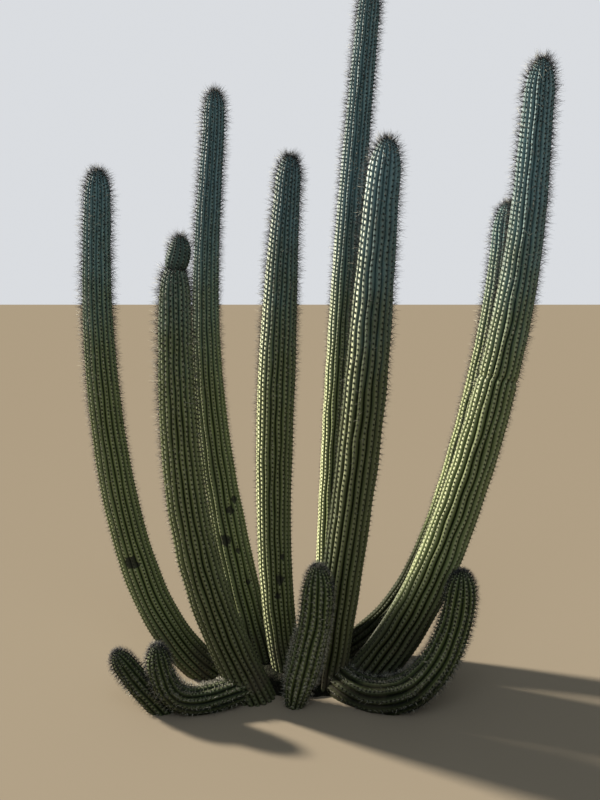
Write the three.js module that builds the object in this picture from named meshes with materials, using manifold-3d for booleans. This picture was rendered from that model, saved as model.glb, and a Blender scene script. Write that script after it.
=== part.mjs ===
// Organ pipe cactus: ribbed columns rising from one woody crown, rooted at ground level.
// Millimetres, +Z up, the flat cut at the ground is z = 0.
import * as THREE from "three";
import { mergeVertices } from "three/addons/utils/BufferGeometryUtils.js";
import Module from "manifold-3d";

const wasm = await Module();
wasm.setup();

// Sizes shared by all columns
const SEAM = 0.3;
const CRUMB = 0.05;
const FURROW = 0.87;
const DOME_RINGS = 3;
const DOME_POWER = 2;
const ROUTE_STEPS = 240;
const REACH = 4000;

// Colours of young, grown and woody flesh
const GREEN = 0x53603f;
const SHADED = 0x46513a;
const YOUNG = 0x4b5a42;
const WOOD = 0x5b5140;

// The crown: flattened lumps that hold the feet of the columns
const CROWN_LUMPS = [
  { centre: [20, 40, -17], radii: [270, 170, 91] },
  { centre: [-213, 31, -19], radii: [155, 118, 78] },
  { centre: [236, 43, -21], radii: [155, 124, 84] },
];

// Each column: a route of control points from foot to tip, four girths (diameters) along it,
// the dome as a share of the last half girth, and the shares of its length where it is split.
const COLUMNS = [
  {
    name: "stem_broad",
    ribs: 17,
    rings: 5,
    route: [[106, -20, -64], [159, -39, 511], [278, -61, 1072], [262, -69, 1645], [321, -80, 2190]],
    girths: [162, 166, 167, 124],
    dome: 2.3,
    splits: [],
    colour: GREEN,
  },
  {
    name: "stem_right_big",
    ribs: 18,
    rings: 8,
    route: [
      [171, -20, -87], [650, -15, 388], [579, 2, 698],
      [966, 14, 1577], [861, 26, 1903], [914, 40, 2506],
    ],
    girths: [181, 175, 152, 112],
    dome: 2.6,
    splits: [0.26, 0.54],
    parts: ["lower", "middle", "upper"],
    colour: GREEN,
  },
  {
    name: "stem_necked",
    ribs: 19,
    rings: 6,
    route: [
      [-165, -100, -52], [-391, -108, 417], [-487, -118, 705],
      [-474, -130, 1324], [-457, -140, 1745],
    ],
    girths: [168, 165, 148, 118],
    dome: 2.5,
    shortOfTip: 31.5,
    splits: [0.4],
    parts: ["lower", "upper"],
    colour: GREEN,
  },
  {
    name: "stem_middle",
    ribs: 19,
    rings: 5,
    route: [[-30, 30, -63], [-167, 61, 475], [-94, 91, 1050], [-96, 95, 1617], [-37, 100, 2169]],
    girths: [133, 143, 151, 99],
    dome: 2.2,
    splits: [],
    colour: GREEN,
  },
  {
    name: "stem_left_outer",
    ribs: 17,
    rings: 8,
    route: [
      [-235, 75, -100], [-746, 56, 138], [-747, 116, 624],
      [-872, 102, 1237], [-840, 135, 1620], [-811, 150, 2124],
    ],
    girths: [147, 149, 129, 102],
    dome: 2.3,
    splits: [0.24, 0.5],
    parts: ["lower", "middle", "upper"],
    colour: GREEN,
  },
  {
    name: "stem_left_tall",
    ribs: 16,
    rings: 7,
    route: [
      [-108, 120, -170], [-275, 125, 350], [-383, 245, 871],
      [-493, 247, 1426], [-378, 330, 1964], [-364, 379, 2494],
    ],
    girths: [154, 147, 117, 91],
    dome: 2.5,
    splits: [0.36, 0.68],
    parts: ["lower", "middle", "upper"],
    colour: SHADED,
  },
  {
    name: "stem_tallest",
    ribs: 16,
    rings: 6,
    route: [[114, 170, -64], [144, 220, 684], [169, 299, 1434], [229, 354, 2179], [301, 420, 2925]],
    girths: [124, 125, 120, 95],
    dome: 2.4,
    splits: [0.5],
    parts: ["lower", "upper"],
    colour: SHADED,
  },
  {
    name: "stem_right_rear",
    ribs: 16,
    rings: 8,
    route: [
      [100, 165, -30], [649, 264, 215], [584, 176, 494],
      [878, 366, 1304], [890, 333, 1524], [921, 397, 2034],
    ],
    girths: [142, 145, 143, 126],
    dome: 2.3,
    splits: [0.28, 0.55],
    parts: ["lower", "middle", "upper"],
    colour: SHADED,
  },
  {
    name: "stem_front_sprout",
    ribs: 14,
    rings: 4,
    route: [[-24, -162, -22], [-6, -164, 127], [61, -164, 286], [77, -163, 425], [68, -160, 587]],
    girths: [74, 125, 126, 123],
    dome: 2.5,
    splits: [],
    colour: YOUNG,
  },
  {
    name: "stem_right_sprout",
    ribs: 13,
    rings: 8,
    route: [[170, -60, 35], [338, -262, -7], [591, -154, 39], [632, -214, 411], [622, -200, 580]],
    girths: [149, 148, 130, 115],
    dome: 2.0,
    splits: [0.56],
    parts: ["lower", "upper"],
    colour: YOUNG,
  },
  {
    name: "stem_left_sprout_inner",
    ribs: 13,
    rings: 8,
    route: [[-200, -110, 50], [-288, -193, 75], [-534, -230, -77], [-551, -217, 156], [-556, -220, 286]],
    girths: [111, 112, 104, 92],
    dome: 2.0,
    splits: [0.6],
    parts: ["lower", "upper"],
    colour: YOUNG,
  },
  {
    name: "stem_left_sprout_outer",
    ribs: 12,
    rings: 3,
    route: [[-513, -194, -43], [-568, -192, 31], [-635, -191, 91], [-680, -190, 167], [-727, -190, 240]],
    girths: [92, 96, 95, 87],
    dome: 1.8,
    splits: [],
    colour: YOUNG,
  },
  {
    name: "stem_necked_head",
    ribs: 14,
    rings: 3,
    route: [
      [-458.5, -139.7, 1713.8], [-458, -140.2, 1736], [-438, -140, 1765],
      [-434, -140, 1800], [-439, -140, 1837],
    ],
    girths: [66, 80, 86, 85],
    dome: 1.6,
    splits: [],
    colour: YOUNG,
  },
];

// Point of a route at t, by repeated halving between its control points
function routePoint(route, t) {
  let points = route.map((p) => new THREE.Vector3(...p));
  while (points.length > 1) {
    points = points.slice(1).map((p, i) => points[i].clone().lerp(p, t));
  }
  return points[0];
}

// Table of the points along a route and the length of limb up to each
function routeTable(route) {
  const points = [];
  const lengths = [0];
  for (let i = 0; i <= ROUTE_STEPS; i += 1) {
    points.push(routePoint(route, i / ROUTE_STEPS));
    if (i > 0) {
      lengths.push(lengths[i - 1] + points[i].distanceTo(points[i - 1]));
    }
  }
  return { points, lengths, total: lengths[ROUTE_STEPS] };
}

// Place and upright frame at a given length of limb
function frameAt(table, length) {
  let i = 1;
  while (i < ROUTE_STEPS && table.lengths[i] < length) {
    i += 1;
  }
  const span = table.lengths[i] - table.lengths[i - 1];
  const share = (length - table.lengths[i - 1]) / span;
  const at = table.points[i - 1].clone().lerp(table.points[i], share);
  const low = table.points[Math.max(0, i - 3)];
  const high = table.points[Math.min(ROUTE_STEPS, i + 2)];
  const along = high.clone().sub(low).normalize();
  const back = new THREE.Vector3(0, 1, 0);
  back.addScaledVector(along, -back.dot(along)).normalize();
  const side = back.clone().cross(along);
  return { at, along, back, side };
}

// Smooth value through four evenly spaced girths
function girthAt(girths, share) {
  const place = Math.min(1, Math.max(0, share)) * 3;
  const i = Math.min(2, Math.floor(place));
  const f = place - i;
  const [a, b, c, d] = girths;
  const slopes = [b - a, (c - a) / 2, (d - b) / 2, d - c];
  const f2 = f * f;
  const f3 = f2 * f;
  const start = girths[i] * (2 * f3 - 3 * f2 + 1) + slopes[i] * (f3 - 2 * f2 + f);
  const end = girths[i + 1] * (3 * f2 - 2 * f3) + slopes[i + 1] * (f3 - f2);
  return start + end;
}

// Half girth of a column at a given length of limb
function radiusAt(column, total, length) {
  const top = column.girths[3] / 2;
  const domeLength = column.dome * top;
  const body = total - domeLength;
  if (length <= body) {
    return girthAt(column.girths, length / body) / 2;
  }
  const share = Math.min(1, (length - body) / domeLength);
  return top * (1 - share ** DOME_POWER) ** (1 / DOME_POWER);
}

// Closed manifold from a geometry, with faces that fold to nothing left out
function toSolid(geometry) {
  geometry.deleteAttribute("normal");
  geometry.deleteAttribute("uv");
  const merged = mergeVertices(geometry, 0.001);
  const index = merged.index.array;
  const kept = [];
  for (let i = 0; i < index.length; i += 3) {
    const [a, b, c] = [index[i], index[i + 1], index[i + 2]];
    if (a !== b && b !== c && c !== a) {
      kept.push(a, b, c);
    }
  }
  const vertProperties = new Float32Array(merged.attributes.position.array);
  const triVerts = new Uint32Array(kept);
  return new wasm.Manifold(new wasm.Mesh({ numProp: 3, vertProperties, triVerts }));
}

// Ribbed column between two lengths of limb; grown is added to its half girth
function columnSolid(column, from, to, grown) {
  const table = routeTable(column.route);
  const domeStart = table.total - (column.dome * column.girths[3]) / 2;
  const bodyEnd = Math.min(to, domeStart);
  const rings = Math.max(2, Math.round(((bodyEnd - from) / table.total) * column.rings));
  const places = [];
  for (let i = 0; i <= rings; i += 1) {
    places.push(from + ((bodyEnd - from) * i) / rings);
  }
  const profile = [new THREE.Vector2(0, from)];
  places.forEach((s) => profile.push(new THREE.Vector2(radiusAt(column, table.total, s) + grown, s)));
  for (let i = 1; i <= DOME_RINGS && to > domeStart; i += 1) {
    const s = domeStart + (to - domeStart) * Math.sin((i / DOME_RINGS) * (Math.PI / 2));
    const radius = radiusAt(column, table.total, s);
    if (radius > SEAM) {
      profile.push(new THREE.Vector2(radius + grown, s));
    }
  }
  profile.push(new THREE.Vector2(0, to));
  const lathe = new THREE.LatheGeometry(profile, column.ribs * 2);
  const position = lathe.attributes.position;
  for (let i = 0; i < position.count; i += 1) {
    const step = Math.floor(i / profile.length);
    const depth = step % 2 === 1 ? FURROW : 1;
    const frame = frameAt(table, position.getY(i));
    const place = frame.at;
    place.addScaledVector(frame.back, position.getX(i) * depth);
    place.addScaledVector(frame.side, position.getZ(i) * depth);
    position.setXYZ(i, place.x, place.y, place.z);
  }
  return toSolid(lathe);
}

// Space above the ground
function aboveGround() {
  const box = new THREE.BoxGeometry(REACH, REACH, REACH);
  box.translate(0, 0, REACH / 2);
  return toSolid(box);
}

// Crown of joined lumps, cut flat at the ground; grown is added all round
function crownSolid(grown) {
  let crown = null;
  CROWN_LUMPS.forEach((lump) => {
    const ball = new THREE.SphereGeometry(1, 18, 9);
    ball.rotateX(Math.PI / 2 - 0.03);
    ball.scale(lump.radii[0] + grown, lump.radii[1] + grown, lump.radii[2] + grown);
    ball.translate(...lump.centre);
    const solid = toSolid(ball);
    crown = crown ? crown.add(solid) : solid;
  });
  return crown.intersect(aboveGround());
}

// Geometry of a solid
function toGeometry(solid) {
  const mesh = solid.getMesh();
  const geometry = new THREE.BufferGeometry();
  const position = [];
  for (let i = 0; i < mesh.vertProperties.length; i += mesh.numProp) {
    position.push(mesh.vertProperties[i], mesh.vertProperties[i + 1], mesh.vertProperties[i + 2]);
  }
  geometry.setAttribute("position", new THREE.BufferAttribute(new Float32Array(position), 3));
  geometry.setIndex(Array.from(mesh.triVerts));
  return geometry;
}

// Largest single body of a solid, with crumbs along the cuts smoothed away
function largestBody(solid) {
  const bodies = solid.decompose().map((body) => body.simplify(CRUMB));
  bodies.sort((a, b) => b.volume() - a.volume());
  return bodies[0];
}

// Named mesh from a solid
function toMesh(solid, name, colour) {
  const geometry = toGeometry(solid);
  geometry.computeVertexNormals();
  const material = new THREE.MeshStandardMaterial({ color: colour, roughness: 0.8, metalness: 0 });
  const result = new THREE.Mesh(geometry, material);
  result.name = name;
  return result;
}

// Crown and columns in the order they keep their shape: each one is cut clear of those before it
function buildPlant() {
  const ground = aboveGround();
  const keepers = [crownSolid(SEAM)];
  const meshes = [toMesh(crownSolid(0), "root_crown", WOOD)];
  COLUMNS.forEach((column) => {
    const total = routeTable(column.route).total;
    const top = total - (column.shortOfTip ?? 0);
    const edges = [0, ...column.splits.map((share) => share * total), top];
    const grown = [];
    for (let i = 0; i + 1 < edges.length; i += 1) {
      const from = edges[i] + (i > 0 ? SEAM / 2 : 0);
      const to = edges[i + 1] - (i + 2 < edges.length ? SEAM / 2 : 0);
      let piece = columnSolid(column, from, to, 0).intersect(ground);
      keepers.forEach((keeper) => {
        piece = piece.subtract(keeper);
      });
      const suffix = column.parts ? `_${column.parts[i]}` : "";
      meshes.push(toMesh(largestBody(piece), column.name + suffix, column.colour));
      grown.push(columnSolid(column, edges[i], edges[i + 1], SEAM));
    }
    keepers.push(...grown);
  });
  return meshes;
}

const plant = new THREE.Group();
plant.name = "organ_pipe_cactus";
buildPlant().forEach((mesh) => plant.add(mesh));

export default plant;
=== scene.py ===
import math

import bmesh
import bpy
import numpy as np
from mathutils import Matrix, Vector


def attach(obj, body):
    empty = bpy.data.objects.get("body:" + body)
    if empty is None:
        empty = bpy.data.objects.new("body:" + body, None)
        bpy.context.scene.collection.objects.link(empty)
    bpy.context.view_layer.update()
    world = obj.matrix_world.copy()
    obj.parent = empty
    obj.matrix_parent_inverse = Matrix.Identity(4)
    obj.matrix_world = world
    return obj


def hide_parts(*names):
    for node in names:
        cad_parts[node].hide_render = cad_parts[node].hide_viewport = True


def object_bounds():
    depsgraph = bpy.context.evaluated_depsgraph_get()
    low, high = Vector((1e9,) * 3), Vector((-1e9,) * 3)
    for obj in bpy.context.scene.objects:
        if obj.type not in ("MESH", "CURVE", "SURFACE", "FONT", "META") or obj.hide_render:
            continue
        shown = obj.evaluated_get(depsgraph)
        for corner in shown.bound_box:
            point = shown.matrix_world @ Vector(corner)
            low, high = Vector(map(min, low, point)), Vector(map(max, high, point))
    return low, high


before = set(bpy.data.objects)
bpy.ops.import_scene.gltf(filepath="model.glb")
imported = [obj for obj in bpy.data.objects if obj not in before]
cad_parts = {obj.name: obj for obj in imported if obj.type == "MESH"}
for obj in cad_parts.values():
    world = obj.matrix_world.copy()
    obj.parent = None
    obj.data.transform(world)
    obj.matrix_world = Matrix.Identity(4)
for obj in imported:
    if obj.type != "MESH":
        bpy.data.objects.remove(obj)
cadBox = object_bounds()
scene = bpy.context.scene
scene.view_settings.view_transform = "Standard"
print("frame loaded with", len(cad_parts), "nodes")


# Camera, floor and light

# metres, degrees down, millimetres for lens and sensor
shot = {"place": (0, -2.56, 1.6), "tilt": 8.6, "lens": 29.16, "sensor": 36, "farthest": 1000}

cameraData = bpy.data.cameras.new("camera")
cameraData.lens = shot["lens"]
cameraData.sensor_width = shot["sensor"]
cameraData.clip_end = shot["farthest"]
camera = bpy.data.objects.new("camera", cameraData)
camera.location = shot["place"]
camera.rotation_euler = (math.radians(90 - shot["tilt"]), 0, 0)
scene.collection.objects.link(camera)
scene.camera = camera

light = {
    "sunPower": 10.2,
    "sunColour": (1.0, 0.93, 0.80),
    "sunFrom": (-0.832, 0.338, 0.440),  # left and a little behind, 26 degrees up
    "sunSoftness": 4,  # degrees
    "shadeColour": (0.86, 0.95, 1.0),
    "shadePower": 0.36,
    "backdrop": (0.70, 0.72, 0.75),
    "lampPower": 32.0,
    "lampColour": (0.80, 0.90, 1.0),
    "lampPlace": (0, -2.3, 3.9),
    "lampAim": (0, 0.1, 2.1),
    "lampSize": 2.4,
}

sunData = bpy.data.lights.new("sun", "SUN")
sunData.energy = light["sunPower"]
sunData.color = light["sunColour"]
sunData.angle = math.radians(light["sunSoftness"])
sun = bpy.data.objects.new("sun", sunData)
toSun = np.array(light["sunFrom"])
toSun = toSun / np.linalg.norm(toSun)
sun.rotation_euler = (math.acos(toSun[2]), 0, math.atan2(toSun[0], -toSun[1]))
scene.collection.objects.link(sun)

lampData = bpy.data.lights.new("highLamp", "AREA")
lampData.shape = "DISK"
lampData.size = light["lampSize"]
lampData.energy = light["lampPower"]
lampData.color = light["lampColour"]
lamp = bpy.data.objects.new("highLamp", lampData)
lamp.location = light["lampPlace"]
lampWay = np.array(light["lampAim"]) - np.array(light["lampPlace"])
lamp.rotation_euler = (math.atan2(math.hypot(lampWay[0], lampWay[1]), -lampWay[2]), 0,
                       math.atan2(-lampWay[0], lampWay[1]))
lamp.visible_camera = False
scene.collection.objects.link(lamp)

world = bpy.data.worlds.new("softRoom")
scene.world = world
world.use_nodes = True
air = world.node_tree
air.nodes.clear()
glow = air.nodes.new("ShaderNodeBackground")
glow.inputs["Color"].default_value = (*light["shadeColour"], 1)
glow.inputs["Strength"].default_value = light["shadePower"]
behind = air.nodes.new("ShaderNodeBackground")
behind.inputs["Color"].default_value = (*light["backdrop"], 1)
seen = air.nodes.new("ShaderNodeLightPath")
pick = air.nodes.new("ShaderNodeMixShader")
airOut = air.nodes.new("ShaderNodeOutputWorld")
air.links.new(seen.outputs["Is Camera Ray"], pick.inputs[0])
air.links.new(glow.outputs[0], pick.inputs[1])
air.links.new(behind.outputs[0], pick.inputs[2])
air.links.new(pick.outputs[0], airOut.inputs["Surface"])

floor = {"half": 400, "drop": 0.001, "colour": (0.245, 0.204, 0.152), "roughness": 0.9}

floorData = bpy.data.meshes.new("floor")
bm = bmesh.new()
bmesh.ops.create_grid(bm, x_segments=4, y_segments=4, size=floor["half"])
bmesh.ops.translate(bm, verts=bm.verts, vec=(0, 0, -floor["drop"]))
bm.to_mesh(floorData)
bm.free()
floorPaint = bpy.data.materials.new("floorPaint")
floorPaint.use_nodes = True
floorShader = floorPaint.node_tree.nodes["Principled BSDF"]
floorShader.inputs["Base Color"].default_value = (*floor["colour"], 1)
floorShader.inputs["Roughness"].default_value = floor["roughness"]
floorShader.inputs["Specular IOR Level"].default_value = 0.0
floorData.materials.append(floorPaint)
floorPiece = bpy.data.objects.new("floor", floorData)
scene.collection.objects.link(floorPiece)
print("camera, floor and light are placed")


# Helpers for shader nodes


def feed(tree, socket, value):
    if isinstance(value, bpy.types.NodeSocket):
        tree.links.new(value, socket)
    else:
        socket.default_value = value


def calc(tree, operation, *terms, clamp=False):
    step = tree.nodes.new("ShaderNodeMath")
    step.operation = operation
    step.use_clamp = clamp
    for place, term in enumerate(terms):
        feed(tree, step.inputs[place], term)
    return step.outputs[0]


def ramp(tree, value, low, high):
    step = tree.nodes.new("ShaderNodeMapRange")
    step.interpolation_type = "SMOOTHSTEP"
    feed(tree, step.inputs["Value"], value)
    feed(tree, step.inputs["From Min"], low)
    feed(tree, step.inputs["From Max"], high)
    return step.outputs["Result"]


def blendColour(tree, share, under, over, way="MIX"):
    step = tree.nodes.new("ShaderNodeMix")
    step.data_type = "RGBA"
    step.blend_type = way
    feed(tree, step.inputs[0], share)
    feed(tree, step.inputs[6], under)
    feed(tree, step.inputs[7], over)
    return step.outputs[2]


def grainAt(tree, place, scale, detail=3, roughness=0.55, stretch=None):
    if stretch:
        turned = tree.nodes.new("ShaderNodeMapping")
        turned.inputs["Scale"].default_value = stretch
        feed(tree, turned.inputs["Vector"], place)
        place = turned.outputs[0]
    step = tree.nodes.new("ShaderNodeTexNoise")
    step.inputs["Scale"].default_value = scale
    step.inputs["Detail"].default_value = detail
    step.inputs["Roughness"].default_value = roughness
    feed(tree, step.inputs["Vector"], place)
    return step.outputs["Fac"]


def startGroup(name, inputs, outputs):
    group = bpy.data.node_groups.new(name, "ShaderNodeTree")
    for label, kind in inputs:
        group.interface.new_socket(label, in_out="INPUT", socket_type="NodeSocket" + kind)
    for label, kind in outputs:
        group.interface.new_socket(label, in_out="OUTPUT", socket_type="NodeSocket" + kind)
    return group, group.nodes.new("NodeGroupInput"), group.nodes.new("NodeGroupOutput")


# Shared skin effect: ribs, areole spots, age along the stem, scars, painted sunlight on the crests of the
# sunny side and painted shade in the furrows and at the foot

# grain of the skin: scale, detail, roughness and stretch of each noise
skinGrain = {
    "broad": (9, 4),
    "speck": (420, 2),
    "fine": (130, 3, 0.6),
    "combed": (60, 3, 0.6, (1, 1, 0.18)),
    "ragged": (55, 2),
}

# A pair is where an effect begins and where it is full or over. Those on the crest are shares from
# furrow (0) to crest line (1), those from an areole are in millimetres and heights are in metres.
skinMarks = {
    "blueWander": 0.5,  # metres by which the change to blue green is uneven
    "ring": (2.3, 3.7),  # from an areole, the dark felted ring
    "ringRagged": 2.4,
    "blueRing": 0.7,  # millimetres by which the ring is wider on blue green skin
    "dashCrest": (0.50, 0.86),
    "dashRing": (3.4, 6.6),  # from an areole
    "blueDash": 0.10,  # added to the dash on blue green skin
    "grownUp": (0.02, 0.36),  # share along the stem, from foot to middle colour
    "ageWander": 0.22,
    "paleCrest": (0.18, 0.48),
    "paleShare": 0.90,
    "bluePaleLoss": 0.85,
    # the next eight are marks of the painted sunlight on the crests of the side that faces the sun
    "sunSide": 0.49,  # the middle of the sunny side, in turns round the stem
    "sunWidth": (0.10, 0.23),  # turns from there
    "paintedSunCrest": (0.42, 0.76),
    "paintedSunRow": (0.36, 0.66),  # from an areole, as a share of half a row
    "paintedSunHeight": (1.5, 2.6),
    "paintedSunLoss": 0.92,  # above that height
    "paintedSunGrain": 1.5,
    "sunFloorDepth": 0.16,  # metres from no painted sunlight to all of it
    # the next three are marks of the painted shade in the furrows
    "furrowShade": (0.04, 0.34),
    "furrowShadeShare": 0.90,
    "blueFurrowLoss": 0.42,
    "blotch": (0.9, 0.5, 0.30),  # broad grain, fine grain and what stays
    "comb": (0.34, 0.83),  # combed grain and what stays
    "corkHeight": (0.03, 0.30),
    "corkPatch": (0.62, 0.78),
    "corkGrain": 0.35,
    "corkColour": (0.060, 0.050, 0.032, 1),
    "ringShare": 0.94,
    "blueRingLoss": 0.20,
    "ringColour": (0.010, 0.009, 0.007, 1),
    "scarRagged": (0.4, 1.5),  # fine and ragged grain at the edge of a scar
    "scarNear": (0.0, 0.25),
    "scarEdge": (0.30, 0.50),
    "scarShare": 0.88,
    "scarColour": (0.016, 0.016, 0.012, 1),
    "roughness": (0.22, 0.40),  # fine grain and what stays
    "dullRoughness": 0.35,  # added on rings, scars and cork
    "bump": (0.5, 0.6, 0.5),  # of fine grain, combed grain and rings
}


def makeSkinGroup():
    tree, given, out = startGroup(
        "ribbedSkin",
        [("Rib map", "Vector"), ("Place", "Vector"), ("Ribs", "Float"), ("Rows", "Float"),
         ("Twist", "Float"), ("Half rib", "Float"), ("Half row", "Float"), ("Scar", "Float"),
         ("Foot", "Color"), ("Middle", "Color"), ("Tip", "Color"), ("Crest", "Color"),
         ("Dash", "Color"), ("Tip dash", "Color"), ("Furrow shade", "Color"),
         ("Painted sun", "Color"), ("Painted sun high", "Color"),
         ("Mottle", "Float"), ("Dash share", "Float"),
         ("Dusk from", "Float"), ("Dusk to", "Float"), ("Dusk", "Float"),
         ("Blue from", "Float"), ("Blue to", "Float"), ("Cork", "Float"), ("Sunny", "Float"),
         ("Sun floor", "Float")],
        [("Colour", "Color"), ("Roughness", "Float"), ("Height", "Float")])
    ask, marks = given.outputs, skinMarks

    def plus(first, second, clamp=False):
        return calc(tree, "ADD", first, second, clamp=clamp)

    def minus(first, second):
        return calc(tree, "SUBTRACT", first, second)

    def times(first, second, clamp=False):
        return calc(tree, "MULTIPLY", first, second, clamp=clamp)

    def timesPlus(value, scale, start):
        return calc(tree, "MULTIPLY_ADD", value, scale, start)

    def rise(value, limits):
        return ramp(tree, value, *limits)

    def fromHalfWay(count):
        return calc(tree, "ABSOLUTE", timesPlus(calc(tree, "FRACT", count), 2.0, -1.0))

    split = tree.nodes.new("ShaderNodeSeparateXYZ")
    feed(tree, split.inputs[0], ask["Rib map"])
    around, along = split.outputs[0], split.outputs[1]
    where = tree.nodes.new("ShaderNodeSeparateXYZ")
    feed(tree, where.inputs[0], ask["Place"])
    height = where.outputs[2]
    grains = {label: grainAt(tree, ask["Place"], *facts) for label, facts in skinGrain.items()}
    broad, fine, combed = grains["broad"], grains["fine"], grains["combed"]

    # crest is 1 on the crest line and 0 in the furrow, offRow is 0 at an areole and 1 half way to the next
    offCrest = fromHalfWay(times(around, ask["Ribs"]))
    crest = minus(1.0, offCrest)
    rowCount = timesPlus(along, ask["Rows"], times(around, ask["Twist"]))
    offRow = minus(1.0, fromHalfWay(rowCount))

    # upper is 0 on olive skin and 1 on blue green skin, with an uneven change between. The blue green is
    # partly the waxy skin of new growth and partly painted sky reflection.
    wander = marks["blueWander"]
    unevenHeight = timesPlus(broad, wander, minus(height, wander / 2))
    upper = ramp(tree, unevenHeight, ask["Blue from"], ask["Blue to"])

    # spot, the dark felted ring round each areole, in millimetres from its middle
    sideways = calc(tree, "POWER", times(offCrest, ask["Half rib"]), 2.0)
    lengthways = calc(tree, "POWER", times(offRow, ask["Half row"]), 2.0)
    apart = calc(tree, "SQRT", plus(sideways, lengthways))
    apart = plus(apart, timesPlus(grains["speck"], marks["ringRagged"], -marks["ringRagged"] / 2))
    apart = timesPlus(upper, -marks["blueRing"], apart)
    spot = minus(1.0, rise(apart, marks["ring"]))

    # dash, the paler stretch of the crest between two areoles
    dash = times(rise(crest, marks["dashCrest"]), rise(apart, marks["dashRing"]))

    # colour by age, then the change from olive to blue green
    wander = marks["ageWander"]
    age = timesPlus(broad, wander, minus(along, wander / 2))
    colour = blendColour(tree, rise(age, marks["grownUp"]), ask["Foot"], ask["Middle"])
    colour = blendColour(tree, upper, colour, ask["Tip"])

    # paler crests, strongest in the middle of a stem
    lower = minus(1.0, times(upper, marks["bluePaleLoss"]))
    paler = times(rise(crest, marks["paleCrest"]), times(lower, marks["paleShare"]))
    colour = blendColour(tree, paler, colour, ask["Crest"])
    dashShare = times(dash, timesPlus(upper, marks["blueDash"], ask["Dash share"]))
    dashColour = blendColour(tree, upper, ask["Dash"], ask["Tip dash"])
    colour = blendColour(tree, dashShare, colour, dashColour)

    # painted sunlight on the crests, uneven, on the side that stands in the sun
    offSun = calc(tree, "ABSOLUTE", minus(around, marks["sunSide"]))
    paintedSun = minus(1.0, rise(offSun, marks["sunWidth"]))
    rowPart = calc(tree, "DIVIDE", apart, ask["Half row"])
    pale = times(rise(crest, marks["paintedSunCrest"]), rise(rowPart, marks["paintedSunRow"]))
    paintedSun = times(paintedSun, pale)
    paintedSun = times(paintedSun, timesPlus(rise(height, marks["paintedSunHeight"]), -marks["paintedSunLoss"], 1.0))
    paintedSun = times(paintedSun, times(fine, marks["paintedSunGrain"]), clamp=True)
    fullSun = plus(ask["Sun floor"], marks["sunFloorDepth"])
    paintedSun = times(paintedSun, ramp(tree, height, ask["Sun floor"], fullSun))
    paintedSun = times(paintedSun, ask["Sunny"])
    paintedSunColour = blendColour(tree, upper, ask["Painted sun"], ask["Painted sun high"])
    colour = blendColour(tree, paintedSun, colour, paintedSunColour)

    # painted shade in the furrows, blotches, and the painted shade (dusk) at the foot
    furrowShade = minus(1.0, rise(crest, marks["furrowShade"]))
    furrowShadeShare = times(furrowShade, timesPlus(upper, -marks["blueFurrowLoss"], marks["furrowShadeShare"]))
    colour = blendColour(tree, furrowShadeShare, colour, ask["Furrow shade"])
    ofBroad, ofFine, stays = marks["blotch"]
    blotch = timesPlus(broad, ofBroad, timesPlus(fine, ofFine, stays))
    blotchAndFootShade = timesPlus(minus(blotch, 1.0), ask["Mottle"], 1.0)
    blotchAndFootShade = times(blotchAndFootShade, timesPlus(combed, *marks["comb"]))
    daylight = ramp(tree, height, ask["Dusk from"], ask["Dusk to"])
    blotchAndFootShade = times(blotchAndFootShade, timesPlus(daylight, minus(1.0, ask["Dusk"]), ask["Dusk"]))
    grey = tree.nodes.new("ShaderNodeCombineXYZ")
    for place in range(3):
        feed(tree, grey.inputs[place], blotchAndFootShade)
    colour = blendColour(tree, 1.0, colour, grey.outputs[0], "MULTIPLY")

    # corky stain low down, in patches
    low = minus(1.0, rise(height, marks["corkHeight"]))
    patch = rise(plus(broad, times(fine, marks["corkGrain"])), marks["corkPatch"])
    cork = times(times(low, patch), ask["Cork"])
    colour = blendColour(tree, cork, colour, marks["corkColour"])

    # the rings and the scars lie over everything
    spotShare = times(spot, timesPlus(upper, -marks["blueRingLoss"], marks["ringShare"]))
    colour = blendColour(tree, spotShare, colour, marks["ringColour"])
    ofFine, ofRagged = marks["scarRagged"]
    edge = plus(timesPlus(fine, ofFine, -ofFine / 2), timesPlus(grains["ragged"], ofRagged, -ofRagged / 2))
    edge = times(edge, rise(ask["Scar"], marks["scarNear"]))
    scar = rise(plus(ask["Scar"], edge), marks["scarEdge"])
    colour = blendColour(tree, times(scar, marks["scarShare"]), colour, marks["scarColour"])

    roughness = timesPlus(fine, *marks["roughness"])
    dull = calc(tree, "MAXIMUM", calc(tree, "MAXIMUM", spot, scar), cork)
    roughness = plus(roughness, times(dull, marks["dullRoughness"]), clamp=True)
    ofFine, ofCombed, ofRings = marks["bump"]
    bumps = timesPlus(fine, ofFine, times(combed, ofCombed))
    bumps = plus(bumps, times(spot, ofRings))
    feed(tree, out.inputs["Colour"], colour)
    feed(tree, out.inputs["Roughness"], roughness)
    feed(tree, out.inputs["Height"], bumps)
    return tree


skinGroup = makeSkinGroup()
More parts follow.
